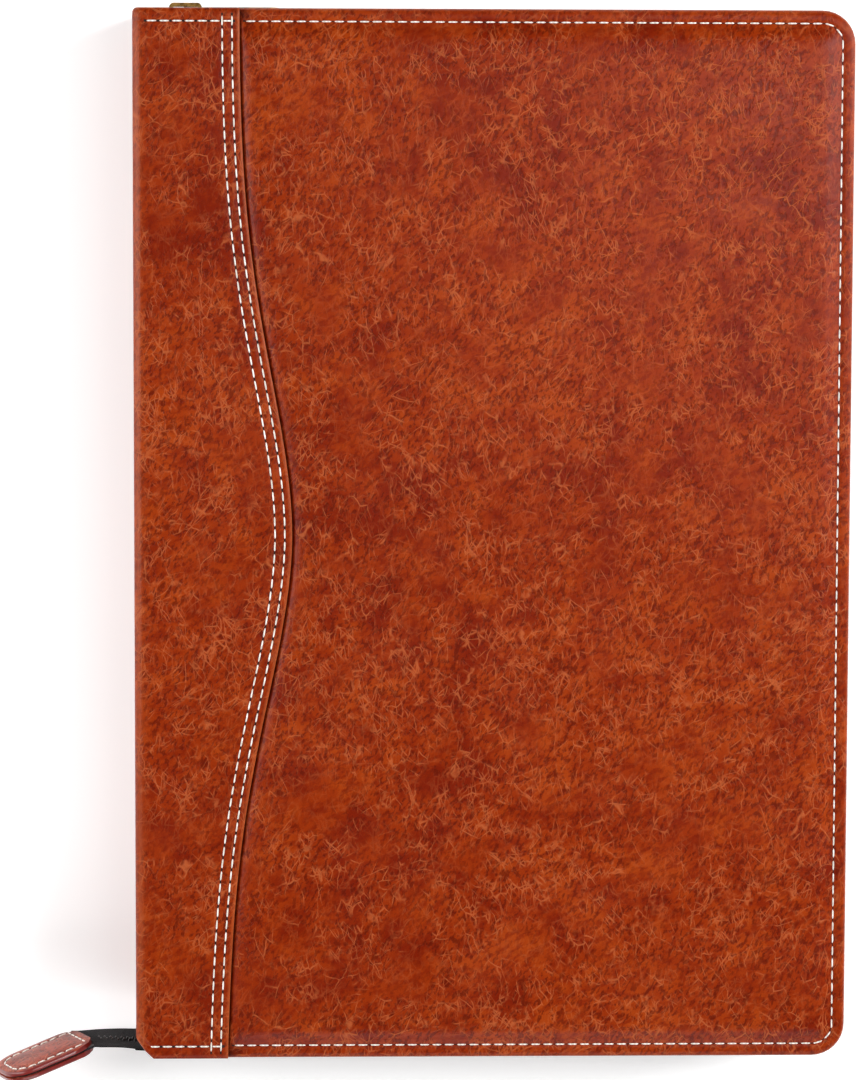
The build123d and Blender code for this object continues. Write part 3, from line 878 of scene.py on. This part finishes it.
def sewn(name, paths, up=lambda place: Vector((0, 0, 1)), step=pitch):
    """A seam along each path: stitches with a needle hole at every end, a dark plug of painted shade."""
    points, faces, paint = [], [], []
    for path in paths:
        for i, (place, along) in enumerate(evenly(path, step)):
            out = up(place)
            if i % 2:
                lay(points, faces, stitch_shape, place + out * 0.14 * mm, along, out, paint, 0)
            else:
                lay(points, faces, hole_shape, place, along, out, paint, 1)
    return joined(name, points, faces, paint, 60, white_thread, needle_hole_shade)


# %% [markdown]
# The rim seam runs round the panel and goes on over the wrap at head and tail. The two curved seams
# keep a constant gap to the wrap's edge and run out to the head and the tail.

# %% Sew the rim and the curved edge
rim_seam = 3.4 * mm
wrap_z = top_z - wrap_depth - 0.13 * mm


def on_panel(path):
    return [(x, y, top_z - panel_depth(x, y)) for x, y in path]


rim_gap = 0.8 * mm
rim_y = head_y - rim_seam
rim_start = fold_x + 2.7 * mm
rim_paths = [on_panel(u_path(rim_seam, seam_x(rim_y) + rim_gap, seam_x(-rim_y) + rim_gap))]
for y in (rim_y, -rim_y):
    rim_paths.append([(rim_start, y, wrap_z), (seam_x(y) - 0.7 * mm, y, wrap_z)])
front_rim_stitches = sewn("front_rim_stitches", rim_paths)
curve_paths = []
for inset in (1.9 * mm, 4.4 * mm):
    ends = head_y - 1.4 * mm
    curve_paths.append([(seam_x(y) - inset * seam_slant(y), y, wrap_z) for y in share(ends, -ends, 90)])
front_curve_stitches = sewn("front_curve_stitches", curve_paths)
for made, slot_nodes in ((front_rim_stitches, "rim_thread"), (front_curve_stitches, "wrap_thread")):
    mirrored = flipped(made, made.name.replace("front", "back"))
    goes(made, "front_cover", "thread", "front_" + slot_nodes)
    goes(mirrored, "back_cover", "thread", "back_" + slot_nodes)

# %% [markdown]
# The zip is a woven tape sewn in between leather and lining, with a row of nylon teeth on its free
# edge. The tape is a section swept round head, fore edge and tail. A tooth is modelled once, as a
# flattened bead, and laid along the tape's edge. The back cover's teeth sit half a step further on,
# so the two rows mesh.

# %% Zip finishes
def woven_tape_finish(name, dark, light):
    """A close herringbone weave on the tape's own run and width."""
    w = Wiring(name, Roughness=0.85, Sheen_Weight=0.05, Specular_IOR_Level=0.12)
    run, across, _ = w.parts(w.along())
    chevron = w.there_and_back(across, 0.0012)
    lean = w.plus(run, chevron)
    ribs = w.there_and_back(w.times(lean, 1 / 0.0007), 0.5)
    cross = w.there_and_back(w.times(across, 1 / 0.0005), 0.5)
    weave = w.times(w.times(ribs, 2.0), w.plus(0.5, cross))
    w.colour(w.blend(w.plus(w.times(weave, 0.7), w.times(w.noise(w.along(), 300), 0.3)),
                     dark, light))
    w.relief(weave, 0.6, 0.00025)
    return w.material


def nylon_finish():
    w = Wiring("black_nylon_teeth", Roughness=0.38, Specular_IOR_Level=0.5)
    spread = w.noise(w.place(), 700, 3.0)
    w.colour(w.blend(spread, tone(14, 13, 13), tone(34, 32, 31)))
    w.roughness(w.step(spread, 0.3, 0.7, 0.3, 0.46))
    w.relief(w.noise(w.place(), 3000), 0.2, 0.0001)
    return w.material


black_tape = woven_tape_finish("black_zip_tape", tone(5, 5, 6), tone(26, 25, 28))
black_nylon = nylon_finish()

# %% [markdown]
# The tape's section is a bowed wall between the covers with a flange sewn in under the leather. A
# tooth starts as a small sphere that is flattened into a bead, and a row is made by laying copies.

# %% Zip tape and teeth
tape_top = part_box("front_zip_tape")[1].z
tape_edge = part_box("front_zip_tape")[0].z
tape_start_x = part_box("front_zip_tape")[0].x
wall = 2.6 * mm
half_tape = 0.3 * mm


def zip_tape_skin():
    """The tape's section swept round the cover: a gently bowed wall, then the edge sewn in."""
    low, high = tape_edge - 0.05 * mm, tape_top
    outer = [(wall - half_tape - bow * mm, low + (high - low) * t)
             for t, bow in ((1, 0), (0.8, 0.02), (0.55, 0.14), (0.3, 0.1), (0.06, 0))]
    inner = [(wall + half_tape - bow * mm, low + (high - low) * t)
             for t, bow in ((0.06, 0), (0.3, 0.1), (0.55, 0.14), (0.8, 0.02))]
    section = outer + [(wall, low)] + inner + [
        (wall + half_tape, tape_top - 0.6 * mm), (wall + half_tape + 5 * mm, tape_top - 0.6 * mm),
        (wall + half_tape + 5 * mm, tape_top)]
    rows = [[(x, y, z) for x, y in u_path(inset, tape_start_x)] for inset, z in section]
    skin = Skin()
    skin.grid(rows + rows[:1])
    skin.cap([row[0] for row in rows])
    skin.cap([row[-1] for row in reversed(rows)])
    return skin


def tape_grain(p):
    """Run round the cover and height on the tape, near enough for the weave."""
    if abs(p.y) > head_y - 12 * mm and p.x < fore_x - 10 * mm:
        return (p.x, p.z - abs(p.y), 0.0)
    return (p.y, p.z + p.x, 0.0)


front_tape = zip_tape_skin().piece("front_woven_tape", black_tape)
lay_grain(front_tape, tape_grain)
back_tape = flipped(front_tape, "back_woven_tape")
goes(front_tape, "front_cover", "zip_tape", "front_zip_tape")
goes(back_tape, "back_cover", "zip_tape", "back_zip_tape")


def one_tooth():
    """A flattened bead across the tape's edge, with its waist at the middle of the coil."""
    clear_selection()
    bpy.ops.mesh.primitive_uv_sphere_add(segments=7, ring_count=5, radius=1.0)
    return taken(bpy.context.object, lambda co: (co.x * 0.36 * mm, co.y * 0.84 * mm, co.z * 1.22 * mm))


tooth_shape = one_tooth()
tooth_pitch = 1.5 * mm
zip_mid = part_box("front_zip_teeth")[0].z - 0.05 * mm
tooth_rise = 1.06 * mm


def row_of_teeth(name, shift, sign, path):
    points, faces, paint = [], [], []
    for i, (place, along) in enumerate(evenly(path, tooth_pitch)):
        if i % 2 == shift:
            centre = Vector((place[0], place[1], zip_mid + sign * tooth_rise))
            lay(points, faces, tooth_shape, centre, along, Vector((0, 0, sign)), paint, 0)
    return joined(name, points, faces, paint, 70, black_nylon)


teeth_path = [(x, y, zip_mid) for x, y in u_path(wall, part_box("slider_body")[1].x - 6 * mm, tape_start_x)]
goes(row_of_teeth("front_coil", 0, 1, teeth_path), "front_cover", "zip_teeth", "front_zip_teeth")
goes(row_of_teeth("back_coil", 1, -1, teeth_path), "back_cover", "zip_teeth", "back_zip_teeth")

# %% [markdown]
# The zip's tail comes out at the foot of the spine. It is a short length of tape with its teeth in the
# middle, and ends in a leather tab of two plies stitched round a core. Tape and tab hang in their
# own turned frames, so they are modelled flat, as on a bench, and then carried to their place.

# %% Frames of the tail and the tab
tail_frame = Matrix(((-0.99848, -0.05262, 0.01654, -88.800 * mm), (0.01743, -0.01654, 0.99971, -134.000 * mm),
                     (-0.05234, 0.99848, 0.01743, 19.000 * mm), (0, 0, 0, 1)))
tab_frame = Matrix(((-0.87035, 0.40392, -0.28165, -105.774 * mm), (-0.29969, 0.01936, 0.95384, -133.704 * mm),
                    (0.39073, 0.91459, 0.10420, 18.110 * mm), (0, 0, 0, 1)))


def carried(made, matrix):
    """The piece's mesh moved from the bench to its place. Its grain stays as it was on the bench."""
    made.data.transform(matrix)
    made.data.update()
    return made


tail_reach = 18.0 * mm
tail_wide, tail_narrow = 12.0 * mm, 8.5 * mm


def tail_skin():
    """The tape of the tail: narrowing, with its edges curled up a little."""
    face, back = [], []
    for i in range(25):
        t = i / 24
        along = -1.0 * mm + (tail_reach + mm) * t
        half = tail_wide + (tail_narrow - tail_wide) * min(1.0, max(0.0, along / (17 * mm)))
        row_up, row_low = [], []
        for j in range(17):
            v = -1 + 2 * j / 16
            across = v * half
            slide = along - across * math.tan(math.radians(26)) * t
            edge_curl = 0.45 * mm * abs(v) ** 3 * math.sin(math.pi * min(1, t * 1.1))
            curl = edge_curl - 0.25 * mm * math.sin(2 * math.pi * t) * (1 - abs(v))
            thick = half_tape * (1 - 0.6 * abs(v) ** 12)
            row_up.append((slide, across, curl + thick))
            row_low.append((slide, across, curl - thick))
        face.append(row_up)
        back.append(row_low)
    return closed_strip(Skin(), face, back)


tail_piece = tail_skin().piece("tail_woven_tape", black_tape)
lay_grain(tail_piece, lambda p: (p.x, p.y, 0.0))
carried(tail_piece, tail_frame)
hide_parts("tail_tape")
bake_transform(tail_piece)

# %% [markdown]
# The tail would hang in the air when the book opens, so a strip of tape runs from the spine's lining
# to its root. It is bent in an L, as it lies while the book is closed.

# %% Anchor the tail in the spine
tail_hinge = tail_frame.to_translation()
anchor_run = [(-0.2, 9.5), (-0.2, 7.0), (-0.2, 4.5), (-0.18, 2.5), (-0.15, 1.0), (-0.3, 0.3), (-0.8, 0.02),
              (-2.2, 0.02), (-3.7, 0.04)]


def anchor_skin():
    """A strip glued to the spine's lining that turns into the root of the tail."""
    face, back = [], []
    for i, (x, y) in enumerate(anchor_run):
        before, after = anchor_run[max(0, i - 1)], anchor_run[min(len(anchor_run) - 1, i + 1)]
        run = Vector((after[0] - before[0], after[1] - before[1])).normalized()
        middle = tail_hinge + Vector((x * mm, y * mm, 0))
        out = Vector((-run.y, run.x, 0)) * 0.25 * mm
        half = (11.5 - 0.2 * max(0.0, -x)) * mm
        face.append([middle + out + Vector((0, 0, z)) for z in share(-half, half, 8)])
        back.append([middle - out + Vector((0, 0, z)) for z in share(-half, half, 8)])
    return closed_strip(Skin(), face, back)


anchor = anchor_skin().piece("tail_anchor_strip", black_tape)
lay_grain(anchor, lambda p: (p.y - p.x, p.z, 0.0))
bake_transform(anchor)

# %% [markdown]
# Two short rows of the same teeth lie in the middle of the tail's tape, half a step apart.

# %% Teeth of the tail
points, faces, paint = [], [], []
for side in (1, -1):
    path = [(x * mm, side * 0.96 * mm, 0) for x in (0.2, 5, 10, 14.2)]
    for i, (place, along) in enumerate(evenly(path, tooth_pitch)):
        if i % 2 == (side > 0):
            lay(points, faces, tooth_shape, place, along, Vector((0, side, 0)), paint, 0)
tail_coil = carried(joined("tail_coil", points, faces, paint, 70, black_nylon), tail_frame)
goes(tail_coil, "tail_tape", "zip_teeth", "tail_teeth")

# %% [markdown]
# A ply of the tab is a plane with two rounded corners, given its thickness by an extrusion and a soft
# edge by a bevel, exactly as one would cut, pare and burnish it. The cut edge is painted dark red.

# %% The tab's two plies
def edge_paint_finish():
    w = Wiring("dark_red_edge_paint", Coat_Weight=0.3, Roughness=0.35)
    w.colour(w.blend(w.noise(w.place(), 500, 3.0), tone(86, 14, 12), tone(140, 30, 22)))
    w.relief(w.noise(w.place(), 1800), 0.3, 0.0001)
    return w.material


edge_paint = edge_paint_finish()
tab_length, tab_width, tab_skin = 24.6 * mm, 19 * mm, 1.2 * mm


def tab_ply(name, side):
    """One leather side of the tab, flat on the bench, its face towards side."""
    clear_selection()
    bpy.ops.mesh.primitive_plane_add(size=1, location=(tab_length / 2, 0, 0))
    made = bpy.context.object
    made.name = made.data.name = name
    made.scale = (tab_length, tab_width, 1)
    bpy.ops.object.transform_apply(location=True, rotation=True, scale=True)
    for vertex in made.data.vertices:
        vertex.select = vertex.co.x > tab_length / 2
    bpy.ops.object.mode_set(mode="EDIT")
    bpy.ops.mesh.select_mode(type="VERT")
    bpy.ops.mesh.bevel(affect="VERTICES", offset=7 * mm, segments=10)
    bpy.ops.mesh.select_all(action="SELECT")
    bpy.ops.mesh.select_mode(type="FACE")
    bpy.ops.mesh.extrude_region_move(TRANSFORM_OT_translate={"value": (0, 0, side * tab_skin)})
    bpy.ops.mesh.select_all(action="SELECT")
    bpy.ops.mesh.normals_make_consistent(inside=False)
    bpy.ops.object.mode_set(mode="OBJECT")
    made.data.materials.append(tab_leather)
    made.data.materials.append(edge_paint)
    for step in (0.35, 1.5, 0.45, 0.45, 1.6, 2.2):
        clear_selection()
        made.select_set(True)
        bpy.context.view_layer.objects.active = made
        top = side * max(side * v.co.z for v in made.data.vertices)
        faces_up = [f for f in made.data.polygons if f.normal.z * side > 0.9 and len(f.vertices) > 8]
        for face in made.data.polygons:
            face.select = face in faces_up
        bpy.ops.object.mode_set(mode="EDIT")
        bpy.ops.mesh.select_mode(type="FACE")
        bpy.ops.mesh.inset(thickness=step * mm, depth=0)
        bpy.ops.object.mode_set(mode="OBJECT")
    for vertex in made.data.vertices:
        x, y, z = vertex.co
        if side * z < 0.5 * tab_skin:
            continue
        gap = min(tab_width / 2 - abs(y), tab_length - x, x)
        dx, dy = x - (tab_length - 7 * mm), abs(y) - (tab_width / 2 - 7 * mm)
        if dx > 0 and dy > 0:
            gap = 7 * mm - math.hypot(dx, dy)
        low = along_table(gap, [(0, 0.38), (0.35, 0.05), (1.6, 0.0), (1.9, 0.08), (2.35, 0.24), (2.8, 0.06),
                                (4.4, -0.12), (7, -0.2)])
        vertex.co.z = z - side * low
    for face in made.data.polygons:
        face.material_index = 1 if abs(face.normal.z) < 0.75 else 0
    smooth(made, 50)
    lay_grain(made, lambda p: (p.x + side * 0.3, p.y, 0.7), lambda p: 0.0)
    for vertex in made.data.vertices:
        vertex.co.z += side * half_tape
    return carried(made, tab_frame)


goes(tab_ply("tab_outer_ply", -1), "tail_tab", "tab_leather", "tab_outer_leather")
goes(tab_ply("tab_inner_ply", 1), "tail_tab", "tab_leather", "tab_inner_leather")


def tab_seam_path(side):
    """The ring of stitches round the tab, closed across the mouth."""
    inset, radius = 2.4 * mm, 4.6 * mm
    half, end, z = tab_width / 2 - inset, tab_length - inset, side * (half_tape + tab_skin - 0.2 * mm)
    points = [(inset, y, z) for y in share(half, -half, 6)]
    points += [(x, -half, z) for x in share(inset, end - radius, 6)[1:]]
    points += [(end - radius + radius * math.sin(a), -half + radius - radius * math.cos(a), z)
               for a in share(0, math.pi / 2, 8)[1:]]
    points += [(end, y, z) for y in share(radius - half, half - radius, 6)[1:]]
    points += [(end - radius + radius * math.cos(a), half - radius + radius * math.sin(a), z)
               for a in share(0, math.pi / 2, 8)[1:]]
    return points + [(x, half, z) for x in share(end - radius, inset, 6)[1:]]


tab_stitches = sewn("tab_stitches", [tab_seam_path(1), tab_seam_path(-1)],
                    lambda place: Vector((0, 0, 1 if place.z > 0 else -1)), 2.7 * mm)
carried(tab_stitches, tab_frame)
goes(tab_stitches, "tail_tab", "thread", "tab_thread")

# %% [markdown]
# The ribbon marker is satin, cut 10 by 256 mm. It lies flat between the two halves of the pages and
# its end hangs out below the tail.

# %% Ribbon
def satin_finish():
    w = Wiring("dark_red_satin", Roughness=0.34, Sheen_Weight=0.4, Anisotropic=0.5)
    run, across, _ = w.parts(w.along())
    ribs = w.there_and_back(w.times(run, 1 / 0.0005), 0.5)
    w.colour(w.blend(w.plus(ribs, w.times(w.noise(w.along(), 120), 0.4)), tone(92, 8, 14), tone(150, 18, 26)))
    w.relief(ribs, 0.3, 0.0001)
    return w.material


ribbon_low, ribbon_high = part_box("ribbon_marker")
page_low_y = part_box("back_pages")[0].y
ribbon_flat = (10 * mm, 256 * mm)
ribbon_lean = math.radians(2.5)
ribbon_rows = {1: [], -1: []}
ribbon_mid = Vector(((ribbon_low.x + ribbon_high.x) / 2, (ribbon_low.y + ribbon_high.y) / 2, 0))
ribbon_z = (ribbon_low.z + ribbon_high.z) / 2
for i in range(65):
    s = ribbon_flat[1] * (i / 64 - 0.5)
    for side in (1, -1):
        row = []
        for j in range(7):
            v = ribbon_flat[0] * (j / 6 - 0.5)
            notch = 1.6 * mm * (1 - abs(j - 3) / 3) if i == 0 else 0.0
            x = ribbon_mid.x + v * math.cos(ribbon_lean) - (s + notch) * math.sin(ribbon_lean)
            y = ribbon_mid.y + v * math.sin(ribbon_lean) + (s + notch) * math.cos(ribbon_lean)
            out = max(0.0, page_low_y - y)
            row.append((x, y, ribbon_z - 18 * out * out + side * 0.08 * mm))
        ribbon_rows[side].append(row)
ribbon = closed_strip(Skin(), ribbon_rows[1], ribbon_rows[-1]).piece("satin_ribbon", satin_finish())
lay_grain(ribbon, lambda p: (p.y, p.x, 0.0))
goes(ribbon, "back_cover", "ribbon", "ribbon_marker")

# %% [markdown]
# The rest of the book keeps its CAD shapes, because boards, pages and metal are flat and exact. Each
# gets a finish of its own. The page block is gilt on its three cut edges, with fine lines where the
# leaves end, and its open pages carry two columns of plain grey rules instead of words.

# %% Finishes for pages and paper
def page_finish():
    w = Wiring("gilt_edged_pages", Roughness=0.75)
    where = w.place()
    x, y, z = w.parts(where)
    normal = w.add("NewGeometry", {}, "Normal")
    nx, _, nz = w.parts(normal)
    open_face = w.step(w.sum("ABSOLUTE", nz), 0.6, 0.9)
    fold_side = w.step(w.times(nx, -1.0), 0.5, 0.8)
    leaves = w.noise(w.stretch(where, (0.03, 0.03, 1.0)), 9000, 2.0, 0.7)
    gilt = w.blend(leaves, tone(150, 104, 38), tone(226, 180, 92))
    gilt = w.blend(w.step(w.noise(where, 160, 4.0), 0.52, 0.68), gilt, tone(196, 148, 74))
    line_step = w.there_and_back(y, 0.0016)
    line = w.step(line_step, 0.0007, 0.0009)
    words = w.step(w.noise(w.stretch(where, (1.0, 0.2, 0.0)), 420, 1.0), 0.42, 0.47)
    column = w.there_and_back(w.plus(x, 0.0018), 0.041)
    inside = w.times(w.step(column, 0.0035, 0.0037), w.step(w.sum("ABSOLUTE", y), 0.112, 0.1122, 1.0, 0.0))
    sides = w.times(w.step(x, -0.0765, -0.0763), w.step(x, 0.0725, 0.0727, 1.0, 0.0))
    ink = w.times(w.times(line, words), w.times(inside, sides))
    paper = w.blend(w.noise(where, 300, 4.0), tone(238, 232, 214), tone(248, 244, 230))
    paper = w.blend(w.times(ink, 0.72), paper, tone(70, 68, 66))
    face = w.blend(open_face, gilt, paper)
    w.colour(w.blend(fold_side, face, tone(226, 219, 200)))
    shine = w.times(w.sum("SUBTRACT", 1.0, open_face), w.sum("SUBTRACT", 1.0, fold_side))
    w.feed(w.shader.inputs["Metallic"], w.times(shine, 0.85))
    w.roughness(w.sum("SUBTRACT", 0.78, w.times(shine, 0.38)))
    w.relief(w.times(leaves, w.sum("SUBTRACT", 1.0, open_face)), 0.35, 0.00018)
    return w.material


def paper_finish(name, low, high, scale):
    """Paper or card: two near tones and a fibrous relief."""
    w = Wiring(name, Roughness=0.82, Specular_IOR_Level=0.25)
    fibres = w.noise(w.stretch(w.place(), (1, 0.3, 1)), scale, 5.0, 0.7)
    w.colour(w.blend(fibres, low, high))
    w.relief(fibres, 0.25, 0.00012)
    return w.material


def cloth_finish(name, dark, light, thread, sheen=0.3):
    """Plain weave on a flat cloth: warp and weft of one thickness, over and under."""
    w = Wiring(name, Roughness=0.88, Sheen_Weight=sheen, Specular_IOR_Level=0.2)
    x, y, z = w.parts(w.warp(w.place(), 90, 0.0003))
    warp = w.sum("SINE", w.times(x, math.pi / thread))
    weft = w.sum("SINE", w.times(w.plus(y, z), math.pi / thread))
    over = w.step(w.times(warp, weft), -0.6, 0.6)
    slub = w.noise(w.stretch(w.place(), (1, 0.12, 1)), 500, 3.0)
    w.colour(w.blend(w.plus(w.times(over, 0.6), w.times(slub, 0.4)), dark, light))
    w.relief(over, 0.5, 0.0002)
    return w.material


def metal_finish():
    """Old brass: browned in the hollows, rubbed bright where fingers reach."""
    w = Wiring("antique_brass", Metallic=1.0)
    where = w.place()
    stain = w.noise(where, 260, 5.0, 0.65)
    w.colour(w.blend(w.step(stain, 0.35, 0.65), tone(96, 66, 30), tone(190, 150, 84)))
    w.roughness(w.step(w.noise(where, 900, 3.0), 0.3, 0.7, 0.26, 0.44))
    w.relief(w.noise(w.stretch(where, (1, 8, 8)), 900, 3.0), 0.15, 0.00008)
    return w.material


def foam_finish():
    w = Wiring("cream_foam", Roughness=0.9)
    bubbles = w.cells(w.place(), 1400)
    w.colour(w.blend(bubbles, tone(214, 196, 150), tone(240, 228, 190)))
    w.relief(bubbles, 0.6, 0.0003)
    return w.material


def band_finish():
    """Head bands are woven over a cord in two colours, seen as stripes."""
    w = Wiring("striped_head_band", Roughness=0.6, Sheen_Weight=0.3)
    x, y, z = w.parts(w.place())
    stripe = w.step(w.there_and_back(z, 0.0009), 0.00035, 0.00055)
    w.colour(w.blend(stripe, tone(112, 16, 20), tone(236, 218, 170)))
    w.relief(w.there_and_back(z, 0.00022), 0.5, 0.0003)
    return w.material


cad_finishes = {
    "page_paper": page_finish(),
    "endpaper": paper_finish("cream_endpaper", tone(224, 208, 176), tone(240, 228, 202), 700),
    "board": paper_finish("grey_board", tone(128, 118, 104), tone(168, 158, 142), 1500),
    "foam": foam_finish(),
    "lining_cloth": cloth_finish("brown_lining_cloth", tone(44, 26, 18), tone(92, 60, 42), 0.0006),
    "mull": cloth_finish("gauze_mull", tone(188, 180, 158), tone(236, 230, 212), 0.0011, 0.1),
    "head_band": band_finish(),
    "zip_metal": metal_finish(),
    "zip_tape": cloth_finish("black_core_tape", tone(10, 10, 12), tone(40, 38, 42), 0.0004),
}
print("finishes", sorted(cad_finishes))

# %% [markdown]
# Each CAD node is matched to a finish by the end of its name. Nodes that a piece above stands for are
# given one too, although they stay hidden.

# %% Give every remaining CAD node its finish
by_node = {"pages": "page_paper", "flyleaf": "endpaper", "pastedown": "endpaper", "board": "board",
           "infill_card": "board", "foam_pad": "foam", "lining": "lining_cloth", "mull": "mull",
           "head_bands": "head_band", "top_stop": "zip_metal", "slider_body": "zip_metal",
           "slider_pull": "zip_metal", "bottom_stop": "zip_metal", "core_tape": "zip_tape"}
others = {"leather": tan_leather, "thread": white_thread, "zip_teeth": black_nylon, "tail_teeth": black_nylon,
          "zip_tape": cad_finishes["zip_tape"], "tail_tape": cad_finishes["zip_tape"],
          "ribbon": cad_finishes["endpaper"]}
for name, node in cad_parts.items():
    finish = next((cad_finishes[slot] for part, slot in by_node.items() if name.endswith(part)), None)
    finish = finish or next((m for part, m in others.items() if part in name), tan_leather)
    for material_slot in node.material_slots:
        material_slot.material = finish
print("shown CAD nodes", sorted(n for n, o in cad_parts.items() if not o.hide_render))
